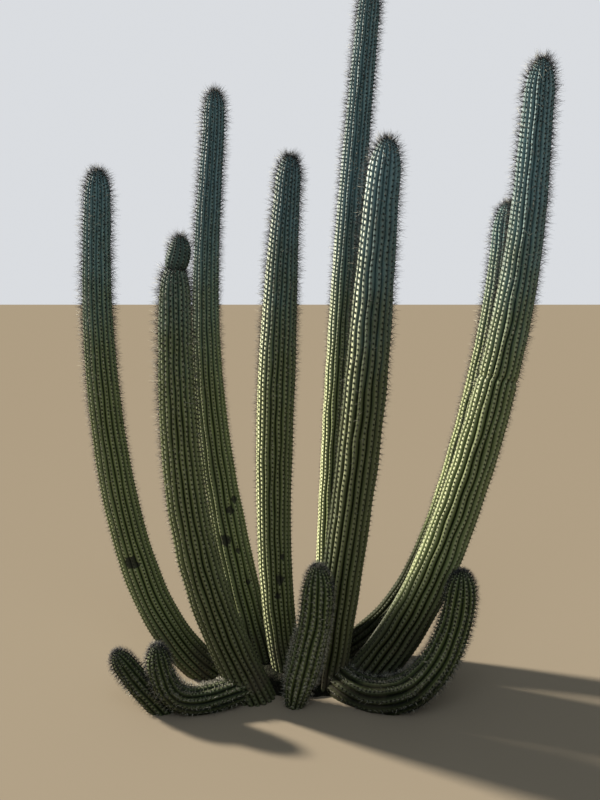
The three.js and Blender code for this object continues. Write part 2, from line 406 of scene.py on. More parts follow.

# Three kinds of skin, as base colours in linear light. Tip is blue green partly of its own and partly as
# painted sky reflection, the two colours after Tip dash are painted sunlight on the crests and the one after
# them is painted shade in the furrows. The young and the head skins are darker partly of their own and partly
# as painted shade, where they stand in the shade of other stems.
skinTones = {
    "grown": {
        "Foot": (0.087, 0.098, 0.028, 1),
        "Middle": (0.087, 0.116, 0.042, 1),
        "Tip": (0.086, 0.162, 0.180, 1),
        "Crest": (0.136, 0.165, 0.062, 1),
        "Dash": (0.760, 0.760, 0.540, 1),
        "Tip dash": (0.150, 0.198, 0.192, 1),
        "Painted sun": (0.610, 0.635, 0.370, 1),
        "Painted sun high": (0.590, 0.630, 0.510, 1),
        "Furrow shade": (0.012, 0.014, 0.005, 1),
        "Mottle": 0.50,
        "Dash share": 0.20,
        "Cork": 0.80,
    },
    "young": {
        "Foot": (0.024, 0.034, 0.011, 1),
        "Middle": (0.032, 0.048, 0.016, 1),
        "Tip": (0.022, 0.036, 0.018, 1),
        "Crest": (0.062, 0.080, 0.028, 1),
        "Dash": (0.560, 0.600, 0.380, 1),
        "Tip dash": (0.320, 0.380, 0.250, 1),
        "Painted sun": (0.300, 0.320, 0.200, 1),
        "Painted sun high": (0.300, 0.320, 0.200, 1),
        "Furrow shade": (0.006, 0.009, 0.004, 1),
        "Mottle": 0.45,
        "Dash share": 0.38,
        "Cork": 0.25,
    },
    "head": {
        "Foot": (0.040, 0.063, 0.053, 1),
        "Middle": (0.042, 0.068, 0.058, 1),
        "Tip": (0.045, 0.073, 0.066, 1),
        "Crest": (0.047, 0.075, 0.064, 1),
        "Dash": (0.240, 0.280, 0.220, 1),
        "Tip dash": (0.240, 0.280, 0.225, 1),
        "Painted sun": (0.300, 0.330, 0.280, 1),
        "Painted sun high": (0.300, 0.330, 0.280, 1),
        "Furrow shade": (0.028, 0.042, 0.033, 1),
        "Mottle": 0.45,
        "Dash share": 0.45,
        "Cork": 0.0,
    },
}
skinGloss = {"grown": 0.30, "young": 0.08, "head": 0.05}

# what holds for every stem that doesn't say otherwise
stemUsual = {
    # dusk is painted shade at the foot and sunny the strength of painted sunlight on the crests, as told with
    # the stems
    "dusk": (0.0, 0.42, 0.55),
    "blue": (1.08, 2.05),  # heights in metres between which the skin turns blue green, partly its own colour and partly painted sky reflection
    "sunny": 0.1,
    "sunFloor": -1.0,
    "lift": (1, 1, 1),
}
skinBump = {"strength": 0.35, "distance": 0.002}


def skinPaint(name, stem):
    tones = skinTones[stem["skin"]]
    paint = bpy.data.materials.new(name)
    paint.use_nodes = True
    tree = paint.node_tree
    shader = tree.nodes["Principled BSDF"]
    shader.inputs["Specular IOR Level"].default_value = stem.get("gloss", skinGloss[stem["skin"]])
    effect = tree.nodes.new("ShaderNodeGroup")
    effect.node_tree = skinGroup
    ribMap = tree.nodes.new("ShaderNodeUVMap")
    ribMap.uv_map = "ribMap"
    place = tree.nodes.new("ShaderNodeTexCoord")
    scar = tree.nodes.new("ShaderNodeAttribute")
    scar.attribute_name = "scar"
    bump = tree.nodes.new("ShaderNodeBump")
    bump.inputs["Strength"].default_value = skinBump["strength"]
    bump.inputs["Distance"].default_value = skinBump["distance"]
    tree.links.new(ribMap.outputs[0], effect.inputs["Rib map"])
    tree.links.new(place.outputs["Object"], effect.inputs["Place"])
    tree.links.new(scar.outputs["Fac"], effect.inputs["Scar"])
    halfRib = math.pi * stem["girths"][1] / stem["ribs"] / 2
    counts = {"Ribs": stem["ribs"], "Rows": stem["rows"], "Twist": stem["twist"],
              "Half rib": halfRib, "Half row": stem["rowStep"] / 2}
    usual = {**stemUsual, **stem}
    counts["Dusk from"], counts["Dusk to"], counts["Dusk"] = usual["dusk"]
    counts["Blue from"], counts["Blue to"] = usual["blue"]
    counts["Sunny"], counts["Sun floor"] = usual["sunny"], usual["sunFloor"]
    for label, value in counts.items():
        effect.inputs[label].default_value = value
    lowLift, highLift, paintedSunLift = usual["lift"]
    for label, value in tones.items():
        if isinstance(value, tuple):
            lift = lowLift
            if label.startswith("Tip"):
                lift = highLift
            # the painted sunlight on the crests takes its own lift
            if label.startswith("Painted sun"):
                lift = paintedSunLift
            value = (*[part * lift for part in value[:3]], 1)
        effect.inputs[label].default_value = value
    tree.links.new(effect.outputs["Colour"], shader.inputs["Base Color"])
    tree.links.new(effect.outputs["Roughness"], shader.inputs["Roughness"])
    tree.links.new(effect.outputs["Height"], bump.inputs["Height"])
    tree.links.new(bump.outputs[0], shader.inputs["Normal"])
    return paint


# The stems. Routes are control points and girths are widths at four even places, in millimetres,
# the same as in the solid model. A scar is share of the rows, degrees round, length and width in millimetres.
# Some stems say more, in place of what is usual:
# - wobble and depth as in relief, gloss as in skinGloss, mix as in spineMix
# - breakAt, the share of the rows where the ribs break and go on a little to the side
# - lift, the brightness of the skin low down, of the skin high up and of the painted sunlight on the crests
# - dusk, the heights between which the painted shade at the foot ends, and the share of light in it
# - sunny, how strong the painted sunlight on the crests is, and sunFloor, the height above which there is any

stems = [
    {"name": "broad", "side": "middle", "nodes": ["stem_broad"], "ribs": 17, "rowStep": 21.3,
     "route": [(106, -20, -64), (159, -39, 511), (278, -61, 1072), (262, -69, 1645), (321, -80, 2190)],
     "girths": (162, 166, 167, 124), "dome": 2.3, "lift": (0.52, 0.99, 1.45), "sunny": 1.4},
    {"name": "rightBig", "side": "right",
     "nodes": ["stem_right_big_lower", "stem_right_big_middle", "stem_right_big_upper"],
     "ribs": 18, "rowStep": 18.1,
     "route": [(171, -20, -87), (650, -15, 388), (579, 2, 698), (966, 14, 1577), (861, 26, 1903),
               (914, 40, 2506)],
     "girths": (181, 175, 152, 112), "dome": 2.6, "breakAt": 0.545, "wobble": 0.17, "depth": 0.235,
     "dusk": (0.22, 0.56, 0.27), "lift": (1.0, 1.05, 1.0), "sunny": 0.52, "sunFloor": 0.36},
    {"name": "necked", "side": "left", "nodes": ["stem_necked_lower", "stem_necked_upper"],
     "ribs": 19, "rowStep": 18.9,
     "route": [(-165, -100, -52), (-391, -108, 417), (-487, -118, 705), (-474, -130, 1324),
               (-457, -140, 1745)],
     "girths": (168, 165, 148, 118), "dome": 2.5, "lift": (0.88, 0.93, 0.93), "dusk": (0.0, 1.15, 0.45)},
    {"name": "middle", "side": "middle", "nodes": ["stem_middle"], "ribs": 19, "rowStep": 18.3,
     "route": [(-30, 30, -63), (-167, 61, 475), (-94, 91, 1050), (-96, 95, 1617), (-37, 100, 2169)],
     "girths": (133, 143, 151, 99), "dome": 2.2, "lift": (0.75, 0.93, 1.55), "sunny": 1.7,
     "scars": [(0.226, -74, 52, 42), (0.268, -58, 30, 24), (0.196, -84, 34, 26)]},
    {"name": "leftOuter", "side": "left",
     "nodes": ["stem_left_outer_lower", "stem_left_outer_middle", "stem_left_outer_upper"],
     "ribs": 17, "rowStep": 15.8,
     "route": [(-235, 75, -100), (-746, 56, 138), (-747, 116, 624), (-872, 102, 1237), (-840, 135, 1620),
               (-811, 150, 2124)],
     "girths": (147, 149, 129, 102), "dome": 2.3, "lift": (1.00, 1.20, 1.0), "sunny": 0.0,
     "dusk": (0.0, 0.42, 0.62), "scars": [(0.325, -95, 62, 62), (0.318, -80, 26, 44)]},
    {"name": "leftTall", "side": "left",
     "nodes": ["stem_left_tall_lower", "stem_left_tall_middle", "stem_left_tall_upper"],
     "ribs": 16, "rowStep": 15.8,
     "route": [(-108, 120, -170), (-275, 125, 350), (-383, 245, 871), (-493, 247, 1426), (-378, 330, 1964),
               (-364, 379, 2494)],
     "girths": (154, 147, 117, 91), "dome": 2.5, "sunny": 0.0, "dusk": (0.0, 0.42, 0.47),
     "scars": [(0.326, -66, 42, 40), (0.341, -40, 40, 34), (0.281, -103, 58, 54), (0.262, -68, 28, 22),
               (0.208, -55, 30, 24)]},
    {"name": "tallest", "side": "middle", "nodes": ["stem_tallest_lower", "stem_tallest_upper"],
     "ribs": 16, "rowStep": 16.2,
     "route": [(114, 170, -64), (144, 220, 684), (169, 299, 1434), (229, 354, 2179), (301, 420, 2925)],
     "girths": (124, 125, 120, 95), "dome": 2.4, "wobble": 0.15, "depth": 0.235,
     "lift": (1.05, 0.97, 1.40), "sunny": 1.4},
    {"name": "rightRear", "side": "right",
     "nodes": ["stem_right_rear_lower", "stem_right_rear_middle", "stem_right_rear_upper"],
     "ribs": 16, "rowStep": 18.0,
     "route": [(100, 165, -30), (649, 264, 215), (584, 176, 494), (878, 366, 1304), (890, 333, 1524),
               (921, 397, 2034)],
     "girths": (142, 145, 143, 126), "dome": 2.3, "dusk": (0.42, 0.84, 0.16), "gloss": 0.06,
     "sunny": 0.6, "sunFloor": 0.60},
    {"name": "frontSprout", "side": "middle", "nodes": ["stem_front_sprout"],
     "ribs": 14, "rowStep": 18.6, "skin": "young",
     "route": [(-24, -162, -22), (-6, -164, 127), (61, -164, 286), (77, -163, 425), (68, -160, 587)],
     "girths": (74, 125, 126, 123), "dome": 2.5, "dusk": (0.0, 0.10, 0.70), "lift": (0.95, 0.90, 1.0),
     "sunny": 0.0},
    {"name": "rightSprout", "side": "right",
     "nodes": ["stem_right_sprout_lower", "stem_right_sprout_upper"],
     "ribs": 13, "rowStep": 17.2, "skin": "young",
     "route": [(170, -60, 35), (338, -262, -7), (591, -154, 39), (632, -214, 411), (622, -200, 580)],
     "girths": (149, 148, 130, 115), "dome": 2.0, "dusk": (0.03, 0.30, 0.22),
     "mix": ((0.34, 0.22), (0.05, 0.20)), "sunny": 0.0},
    {"name": "leftSproutInner", "side": "left",
     "nodes": ["stem_left_sprout_inner_lower", "stem_left_sprout_inner_upper"],
     "ribs": 13, "rowStep": 17.0, "skin": "young",
     "route": [(-200, -110, 50), (-288, -193, 75), (-534, -230, -77), (-551, -217, 156), (-556, -220, 286)],
     "girths": (111, 112, 104, 92), "dome": 2.0, "lift": (0.82, 0.82, 1.0), "dusk": (0.0, 0.20, 0.40),
     "mix": ((0.60, 0.22), (0.04, 0.14)), "sunny": 0.0},
    # its spines high up are nearly all dark, partly as painted shade on this sprout
    {"name": "leftSproutOuter", "side": "left", "nodes": ["stem_left_sprout_outer"],
     "ribs": 12, "rowStep": 16.0, "skin": "young",
     "route": [(-513, -194, -43), (-568, -192, 31), (-635, -191, 91), (-680, -190, 167), (-727, -190, 240)],
     "girths": (92, 96, 95, 87), "dome": 1.8, "mix": ((0.22, 0.30), (0.0, 0.08)), "sunny": 0.0},
    {"name": "neckedHead", "side": "left", "nodes": ["stem_necked_head"],
     "ribs": 14, "rowStep": 13.0, "skin": "head",
     "route": [(-458.5, -139.7, 1713.8), (-458, -140.2, 1736), (-438, -140, 1765), (-434, -140, 1800),
               (-439, -140, 1837)],
     "girths": (66, 80, 86, 85), "dome": 1.6, "sunny": 0.8},
]

seeds = {"skin": 300, "spines": 900}

relief = {
    "acrossRib": 6,  # columns of the mesh per rib
    "alongRow": 3,  # rings of the mesh per row of areoles
    "tipSpacing": 0.009,  # of the rows at the very tip, in metres
    "tipLength": 0.16,  # the stretch over which rows close up
    "tipPower": 0.7,
    "twist": 0.382,  # rows that areoles climb in one turn, as a share of the ribs
    "grownDepth": 0.185,  # of the furrows, as a share of the radius
    "youngDepth": 0.105,
    "headDepth": 0.05,
    "footDepthLoss": 0.25,
    "depthWave": 0.10,
    "crestPower": 2.5,
    "grownSwell": 0.0013,  # how far areoles stand out, in metres
    "youngSwell": 0.0024,
    "headSwell": 0.0024,
    "swellRadius": 0.03,  # the radius below which they stand out less
    "wobble": 0.13,  # of half a rib
    "ripple": 0.010,
    "breakShift": 0.22,  # of a rib
    "breakRows": 1.2,  # rows over which the ribs shift
    "breakPinch": 0.075,
    "breakLength": 11,  # millimetres
    "scarDepth": 0.004,
    "scarRim": 1.3,
    "slopeStep": 0.004,  # metres to either side for the direction of the route
    "crestStep": 0.35,  # rows to either side for the direction of a crest
    "sharpAngle": 55,
}

# samples along a whole route, along its body and along its dome
sampling = {"route": 3000, "body": 900, "dome": 500}
# sums of sines, for uneven girths and for ribs that wander, with speeds in radians per metre,
# which are used three and four times over for the girths
rippleWaves = {"count": 5, "speed": (2, 9), "phase": (0, 6.28), "turns": 3}
wobbleWaves = {"count": 7, "speed": (9, 42), "phase": (0, 6.28)}


def curvePoints(control, shares):
    level = [np.ones((len(shares), 1)) * np.array(p, float)[None, :] for p in control]
    while len(level) > 1:
        level = [a * (1 - shares[:, None]) + b * shares[:, None] for a, b in zip(level, level[1:])]
    return level[0]


def girthAt(girths, share):
    a, b, c, d = girths
    place = np.clip(share, 0, 1) * 3
    first = np.minimum(2, np.floor(place)).astype(int)
    f = place - first
    values = np.array([a, b, c, d], float)
    slopes = np.array([b - a, (c - a) / 2, (d - b) / 2, d - c], float)
    v0, v1, m0, m1 = values[first], values[first + 1], slopes[first], slopes[first + 1]
    return (v0 * (2 * f**3 - 3 * f**2 + 1) + m0 * (f**3 - 2 * f**2 + f)
            + v1 * (3 * f**2 - 2 * f**3) + m1 * (f**3 - f**2))


def drawWaves(draw, facts, low, high):
    return [(int(draw.integers(low, high)), draw.uniform(*facts["speed"]), draw.uniform(*facts["phase"]))
            for _ in range(facts["count"])]


def prepare(stem, seed):
    draw = np.random.default_rng(seed)
    stem.setdefault("skin", "grown")
    line = curvePoints(stem["route"], np.linspace(0, 1, sampling["route"])) / 1000
    lengths = np.r_[0, np.cumsum(np.linalg.norm(np.diff(line, axis=0), axis=1))]
    total = lengths[-1]
    top = stem["girths"][3] / 2000
    domeLength = stem["dome"] * top
    body = total - domeLength

    # places along the route in metres, closer together towards the tip, and the radius at each
    places = np.r_[np.linspace(0, body, sampling["body"], endpoint=False),
                   body + domeLength * np.sin(np.linspace(0, math.pi / 2, sampling["dome"]))]
    share = np.clip((places - body) / domeLength, 0, 1)
    radius = np.where(places < body, girthAt(stem["girths"], places / body) / 2000,
                      top * np.sqrt(1 - share**2))

    # rows of areoles, counted along the surface, closer together at the tip
    steps = np.hypot(np.diff(places), np.diff(radius))
    surface = np.r_[0, np.cumsum(steps)]
    toTip = surface[-1] - surface
    opened = np.clip(toTip / relief["tipLength"], 0, 1) ** relief["tipPower"]
    spacing = relief["tipSpacing"] + (stem["rowStep"] / 1000 - relief["tipSpacing"]) * opened
    rowsAt = np.r_[0, np.cumsum(steps / ((spacing[1:] + spacing[:-1]) / 2))]
    rows = int(round(rowsAt[-1]))
    stem["rows"] = rows
    stem["twist"] = int(round(stem["ribs"] * relief["twist"]))
    stem["rowTable"] = rowsAt * rows / rowsAt[-1]
    stem["placeTable"] = places
    stem["radiusTable"] = radius
    stem["line"], stem["lengths"], stem["total"] = line, lengths, total
    stem["waves"] = drawWaves(draw, rippleWaves, -rippleWaves["turns"], rippleWaves["turns"] + 1)
    stem["kinks"] = drawWaves(draw, wobbleWaves, -stem["ribs"] // 2, stem["ribs"] // 2)


def sumOfSines(waves, around, place):
    total = np.zeros(np.broadcast(around, place).shape)
    for turns, speed, phase in waves:
        total += np.sin(2 * math.pi * turns * around + speed * place + phase)
    return total / math.sqrt(len(waves))


def onRoute(stem, place):
    return np.stack([np.interp(place, stem["lengths"], stem["line"][:, k]) for k in range(3)], -1)


def unit(vectors):
    return vectors / np.linalg.norm(vectors, axis=-1, keepdims=True)


def surfaceAt(stem, u, v):
    rowPlace = v * stem["rows"]
    place = np.interp(rowPlace, stem["rowTable"], stem["placeTable"])
    radius = np.interp(rowPlace, stem["rowTable"], stem["radiusTable"])
    centre = onRoute(stem, place)
    along = unit(onRoute(stem, place + relief["slopeStep"]) - onRoute(stem, place - relief["slopeStep"]))
    back = unit(np.array([0.0, 1.0, 0.0]) - along[..., 1:2] * along)
    side = np.cross(back, along)

    # where a point lies between crest and furrow, and how far its rib wanders to the side
    ribs = stem["ribs"]
    offCrest = np.abs(2 * np.mod(u * ribs, 1) - 1)
    crest = 1 - offCrest ** relief["crestPower"]
    wobble = sumOfSines(stem["kinks"], u, place) * stem.get("wobble", relief["wobble"]) * 0.5 / ribs
    if "breakAt" in stem:
        shifted = np.clip((v - stem["breakAt"]) * stem["rows"] / relief["breakRows"] + 0.5, 0, 1)
        wobble = wobble + relief["breakShift"] / ribs * shifted
    angle = 2 * math.pi * (u - 0.5 / ribs + wobble)

    # how far it stands from the middle
    depth = stem.get("depth", relief[stem["skin"] + "Depth"]) * (1 - relief["footDepthLoss"] * (1 - v) ** 6)
    depth = depth * (1 + relief["depthWave"] * sumOfSines(stem["waves"], u * 2, place * 3))
    size = radius * (1 + relief["ripple"] * sumOfSines(stem["waves"], u, place * 4))
    if "breakAt" in stem:
        offBreak = (v - stem["breakAt"]) * stem["rows"] * stem["rowStep"] / relief["breakLength"]
        size = size * (1 - relief["breakPinch"] * np.exp(-(offBreak ** 2)))
    reach = size * (1 - depth * (1 - crest))
    nearRow = 0.5 + 0.5 * np.cos(2 * math.pi * (rowPlace + u * stem["twist"]))
    fade = np.clip(radius / relief["swellRadius"], 0, 1)
    reach = reach + relief[stem["skin"] + "Swell"] * fade * (nearRow - 0.5) * crest**2
    reach = reach - relief["scarDepth"] * scarAt(stem, u, v)
    outward = np.sin(angle)[..., None] * back + np.cos(angle)[..., None] * side
    return centre + outward * reach[..., None], outward, along


def scarAt(stem, u, v):
    found = np.zeros(np.broadcast(u, v).shape)
    for share, degrees, long, wide in stem.get("scars", []):
        girth = girthAt(stem["girths"], np.array(share)) / 2
        turn = np.mod(u - degrees / 360 - 0.5 / stem["ribs"] + 0.5, 1) - 0.5
        sideways = turn * 2 * math.pi * girth / (wide / 2)
        lengthways = (v - share) * stem["rows"] * stem["rowStep"] / (long / 2)
        found = np.maximum(found, np.clip(relief["scarRim"] - np.hypot(sideways, lengthways), 0, 1))
    return found


def cutAtGround(bm):
    bmesh.ops.bisect_plane(bm, geom=bm.verts[:] + bm.edges[:] + bm.faces[:], dist=1e-6,
                           plane_co=(0, 0, 0), plane_no=(0, 0, 1), clear_inner=True)
    bmesh.ops.holes_fill(bm, edges=[edge for edge in bm.edges if edge.is_boundary], sides=0)
    bmesh.ops.recalc_face_normals(bm, faces=bm.faces)


def makeSkin(stem):
    columns, rings = stem["ribs"] * relief["acrossRib"], stem["rows"] * relief["alongRow"]
    bm = bmesh.new()
    bm.loops.layers.uv.new("ribMap")
    bmesh.ops.create_grid(bm, x_segments=columns, y_segments=rings, size=0.5, calc_uvs=True)
    mesh = bpy.data.meshes.new(stem["name"] + "Skin")
    bm.to_mesh(mesh)
    bm.free()
    flat = np.empty(len(mesh.vertices) * 3)
    mesh.vertices.foreach_get("co", flat)
    flat = flat.reshape(-1, 3)
    u = np.round((flat[:, 0] + 0.5) * columns) / columns
    v = np.round((flat[:, 1] + 0.5) * rings) / rings
    points, outward, along = surfaceAt(stem, u, v)
    last = v > 1 - 0.5 / rings
    points[last] = points[last].mean(axis=0)
    mesh.vertices.foreach_set("co", points.ravel())
    scar = mesh.attributes.new("scar", "FLOAT", "POINT")
    scar.data.foreach_set("value", scarAt(stem, u, v))

    # a second map in strips side by side with a little room between them, so that texture pixels
    # are about as long as wide
    corners = np.empty(len(mesh.loops) * 2)
    mesh.uv_layers["ribMap"].data.foreach_get("uv", corners)
    corners = corners.reshape(-1, 4, 2)
    strips = max(1, round(math.sqrt(stem["total"] / (math.pi * stem["girths"][1] / 1000))))
    strip = np.minimum(strips - 1, np.floor(corners[:, :, 1].mean(axis=1) * strips))[:, None]
    laid = np.stack([(strip + 0.01 + 0.98 * corners[:, :, 0]) / strips,
                     0.005 + 0.99 * (corners[:, :, 1] * strips - strip)], -1)
    mesh.uv_layers.new(name="OFBake").data.foreach_set("uv", laid.ravel())

    bm = bmesh.new()
    bm.from_mesh(mesh)
    bmesh.ops.remove_doubles(bm, verts=bm.verts, dist=1e-5)
    cutAtGround(bm)
    bm.to_mesh(mesh)
    bm.free()
    mesh.shade_smooth()
    mesh.set_sharp_from_angle(angle=math.radians(relief["sharpAngle"]))
    return mesh


def addPiece(name, mesh, paint):
    mesh.materials.clear()
    mesh.materials.append(paint)
    piece = bpy.data.objects.new(name, mesh)
    scene.collection.objects.link(piece)
    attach(piece, "root")
    return piece


for number, stem in enumerate(stems):
    prepare(stem, seeds["skin"] + number)
    paint = skinPaint(stem["name"] + "Skin", stem)
    piece = addPiece(stem["name"] + "Skin", makeSkin(stem), paint)
    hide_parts(*stem["nodes"])
    print("stem", stem["name"], stem["rows"], "rows,", len(piece.data.polygons), "faces")


# The woody crown that the stems stand on

crown = {
    # centres and half axes in millimetres, as in the solid model
    "lumps": [((20, 40, -17), (270, 170, 91)), ((-213, 31, -19), (155, 118, 78)),
              ((236, 43, -21), (155, 124, 84))],
    "voxel": 0.006,
    "knots": 0.010,  # height of the bark relief, in metres
    "sink": 0.5,  # share of it by which the bark lies lower than the lumps
    "sharpAngle": 60,
    "gloss": 0.08,
    "plates": 55,  # scale of the bark's plates
    "broadGrain": (16, 4),
    "fineGrain": (120, 4, 0.65),
    "roughness": (0.2, 0.75),  # fine grain and what stays
    "crack": (0.02, 0.16),  # from the edge of a plate
    "crackShare": 0.8,
    "greenPatch": (0.40, 0.62),
    "darkPatch": (0.42, 0.70),
    "bump": {"strength": 0.8, "distance": 0.004},
    # the bark colours are very dark, partly the bark's own colour and partly painted shade at the foot among
    # the stems
    "bark": (0.016, 0.014, 0.009, 1),
    "darkBark": (0.005, 0.005, 0.003, 1),
    "greenBark": (0.011, 0.014, 0.006, 1),
}


def makeCrown():
    bm = bmesh.new()
    for centre, radii in crown["lumps"]:
        ball = bmesh.ops.create_icosphere(bm, subdivisions=5, radius=1)["verts"]
        bmesh.ops.scale(bm, verts=ball, vec=[r / 1000 for r in radii])
        bmesh.ops.translate(bm, verts=ball, vec=[c / 1000 for c in centre])
    mesh = bpy.data.meshes.new("rootCrown")
    bm.to_mesh(mesh)
    bm.free()
    rough = bpy.data.objects.new("roughCrown", mesh)
    scene.collection.objects.link(rough)
    join = rough.modifiers.new("join", "REMESH")
    join.mode = "VOXEL"
    join.voxel_size = crown["voxel"]
    whole = bpy.data.meshes.new_from_object(rough.evaluated_get(bpy.context.evaluated_depsgraph_get()))
    bpy.data.objects.remove(rough)
    bm = bmesh.new()
    bm.from_mesh(whole)
    bm.normal_update()
    for vert in bm.verts:
        x, y, z = vert.co * 1000
        knots = (math.sin(x / 23 + 2 * math.sin(y / 31)) * math.sin(y / 19 + 1.3 * math.sin(x / 37))
                 + 0.5 * math.sin(x / 9 + z / 12) * math.sin(y / 11 - z / 10))
        vert.co += vert.normal * crown["knots"] * (0.45 * knots - crown["sink"])
    cutAtGround(bm)
    bm.to_mesh(whole)
    bm.free()
    whole.shade_smooth()
    whole.set_sharp_from_angle(angle=math.radians(crown["sharpAngle"]))
    return whole


def barkPaint():
    paint = bpy.data.materials.new("crownBark")
    paint.use_nodes = True
    tree = paint.node_tree
    shader = tree.nodes["Principled BSDF"]
    shader.inputs["Specular IOR Level"].default_value = crown["gloss"]
    place = tree.nodes.new("ShaderNodeTexCoord").outputs["Object"]
    broad = grainAt(tree, place, *crown["broadGrain"])
    fine = grainAt(tree, place, *crown["fineGrain"])
    plates = tree.nodes.new("ShaderNodeTexVoronoi")
    plates.feature = "DISTANCE_TO_EDGE"
    plates.inputs["Scale"].default_value = crown["plates"]
    tree.links.new(place, plates.inputs["Vector"])
    crack = calc(tree, "SUBTRACT", 1.0, ramp(tree, plates.outputs["Distance"], *crown["crack"]))
    cracks = calc(tree, "MULTIPLY", crack, crown["crackShare"])
    colour = blendColour(tree, ramp(tree, broad, *crown["greenPatch"]), crown["bark"], crown["greenBark"])
    colour = blendColour(tree, ramp(tree, fine, *crown["darkPatch"]), colour, crown["darkBark"])
    colour = blendColour(tree, cracks, colour, crown["darkBark"])
    tree.links.new(colour, shader.inputs["Base Color"])
    tree.links.new(calc(tree, "MULTIPLY_ADD", fine, *crown["roughness"]), shader.inputs["Roughness"])
    bump = tree.nodes.new("ShaderNodeBump")
    bump.inputs["Strength"].default_value = crown["bump"]["strength"]
    bump.inputs["Distance"].default_value = crown["bump"]["distance"]
    tree.links.new(calc(tree, "SUBTRACT", fine, crack), bump.inputs["Height"])
    tree.links.new(bump.outputs[0], shader.inputs["Normal"])
    return paint


crownPiece = addPiece("rootCrown", makeCrown(), barkPaint())
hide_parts("root_crown")
print("crown,", len(crownPiece.data.polygons), "faces")


# Areole pads and spines, each kind joined apart

# lengths and widths in metres, tilts in degrees from straight out
spine = {
    "radial": {"count": 4, "youngCount": 7, "tilt": (58, 82), "long": (0.005, 0.009),
               "thick": 0.00048, "youngThick": 0.00044},
    "central": {"count": 5, "youngCount": 14, "tilt": (10, 66), "long": (0.022, 0.048),
                "thick": 0.00072, "youngThick": 0.00058},
    "youngGrowth": 0.58,
    "oldGrowth": 0.23,
    "growthFrom": 0.2,  # share along the stem up to which spines keep the old growth
    "growthOver": 0.6,
    "tipGain": 0.1,  # more growth over the last stretch, and less over the very last
    "tipGainOver": 0.22,
    "tipLoss": 0.3,
    "tipLossOver": 0.05,
    "slim": (0.45, 0.55),  # of the thickness, what all have and what comes with growth
    "thickRange": (0.85, 1.15),
    "turnRange": (-0.35, 0.35),  # of the step from one spine to the next round an areole
    "oldShare": 0.38,  # of the spines that stay low down on a grown stem
    "oldShareOver": 0.65,
    "headShare": 0.75,  # of the spines that stay on the head
    "footShare": 0.30,  # of the spines that stay close to the ground
    "footHeight": 0.09,
    "groundRoom": 0.002,
    "sideRoom": 0.029,  # how far a spine may pass the solid model's front and back
    "shortest": 0.3,  # share of its length that a spine keeps there at least
    "gloss": 0.2,
    "roughness": 0.6,
}
pad = {
    "across": 0.0027,
    "tall": 0.0013,
    "longer": 1.25,  # along the rib than across
    "sink": 0.0006,
    "sizes": (0.85, 1.2),
    "lowest": 0.006,
    "mostScar": 0.3,
    "colour": (0.012, 0.010, 0.009, 1),
    "gloss": 0.05,
    "roughness": 0.9,
}
spineColours = {
    "greySpines": (0.50, 0.48, 0.39, 1),
    "ashSpines": (0.114, 0.113, 0.104, 1),
    "darkSpines": (0.020, 0.021, 0.024, 1),
}
# shares of grey and ash spines low down and high up, the rest are dark
spineMix = {
    "grown": ((0.08, 0.14), (0.05, 0.20)),
    "young": ((0.60, 0.22), (0.14, 0.22)),
    "head": ((0.08, 0.20), (0.08, 0.20)),
}
# share along the stem where the mix begins to change and the share that the change takes
mixStretch = {"grown": (0.0, 0.7), "young": (0.45, 0.40), "head": (0.0, 0.7)}


def plainPaint(name, colour, roughness, gloss):
    paint = bpy.data.materials.new(name)
    paint.use_nodes = True
    shader = paint.node_tree.nodes["Principled BSDF"]
    shader.inputs["Base Color"].default_value = colour
    shader.inputs["Roughness"].default_value = roughness
    shader.inputs["Specular IOR Level"].default_value = gloss
    return paint


def smallSpike(sides):
    bm = bmesh.new()
    bmesh.ops.create_cone(bm, cap_ends=True, segments=sides, radius1=1, radius2=0, depth=1)
    bmesh.ops.translate(bm, verts=bm.verts, vec=(0, 0, 0.5))
    bmesh.ops.remove_doubles(bm, verts=bm.verts, dist=1e-5)
    bmesh.ops.triangulate(bm, faces=bm.faces)
    bmesh.ops.recalc_face_normals(bm, faces=bm.faces)
    bm.verts.index_update()
    points = np.array([vert.co[:] for vert in bm.verts])
    faces = np.array([[vert.index for vert in face.verts] for face in bm.faces])
    bm.free()
    return points, faces


def joinCopies(name, template, bases, axes):
    points, faces = template
    count, perCopy = len(bases), len(points)
    places = bases[:, None, :] + np.einsum("kj,njd->nkd", points, axes)
    corners = (faces[None] + (np.arange(count) * perCopy)[:, None, None]).ravel()
    mesh = bpy.data.meshes.new(name)
    mesh.vertices.add(count * perCopy)
    mesh.vertices.foreach_set("co", places.ravel())
    mesh.loops.add(len(corners))
    mesh.loops.foreach_set("vertex_index", corners)
    mesh.polygons.add(len(corners) // 3)
    mesh.polygons.foreach_set("loop_start", np.arange(0, len(corners), 3))
    mesh.update(calc_edges=True)
    return mesh


def areolesOf(stem):
    u, v = [], []
    for rib in range(stem["ribs"]):
        around = (rib + 0.5) / stem["ribs"]
        numbers = np.arange(0, stem["rows"] + stem["twist"] + 1)
        along = (numbers - around * stem["twist"]) / stem["rows"]
        along = along[(along > 0) & (along < 1 - 0.6 / stem["rows"])]
        u.append(np.full(len(along), around))
        v.append(along)
    return np.concatenate(u), np.concatenate(v)


def frameAt(stem, u, v):
    point, outward, along = surfaceAt(stem, u, v)
    step = relief["crestStep"] / stem["rows"]
    ahead = unit(surfaceAt(stem, u, np.minimum(v + step, 1))[0] - surfaceAt(stem, u, v - step)[0])
    across = np.cross(along, outward)
    normal = np.cross(across, ahead)
    normal = unit(normal * np.sign(np.sum(normal * (outward + along * 0.3), axis=-1, keepdims=True)))
    return point, normal, ahead, np.cross(ahead, normal)


# steps along a stem, share of its radius and room under the crown's surface in millimetres
hiding = {"steps": 160, "share": 0.9, "crownRoom": 8}


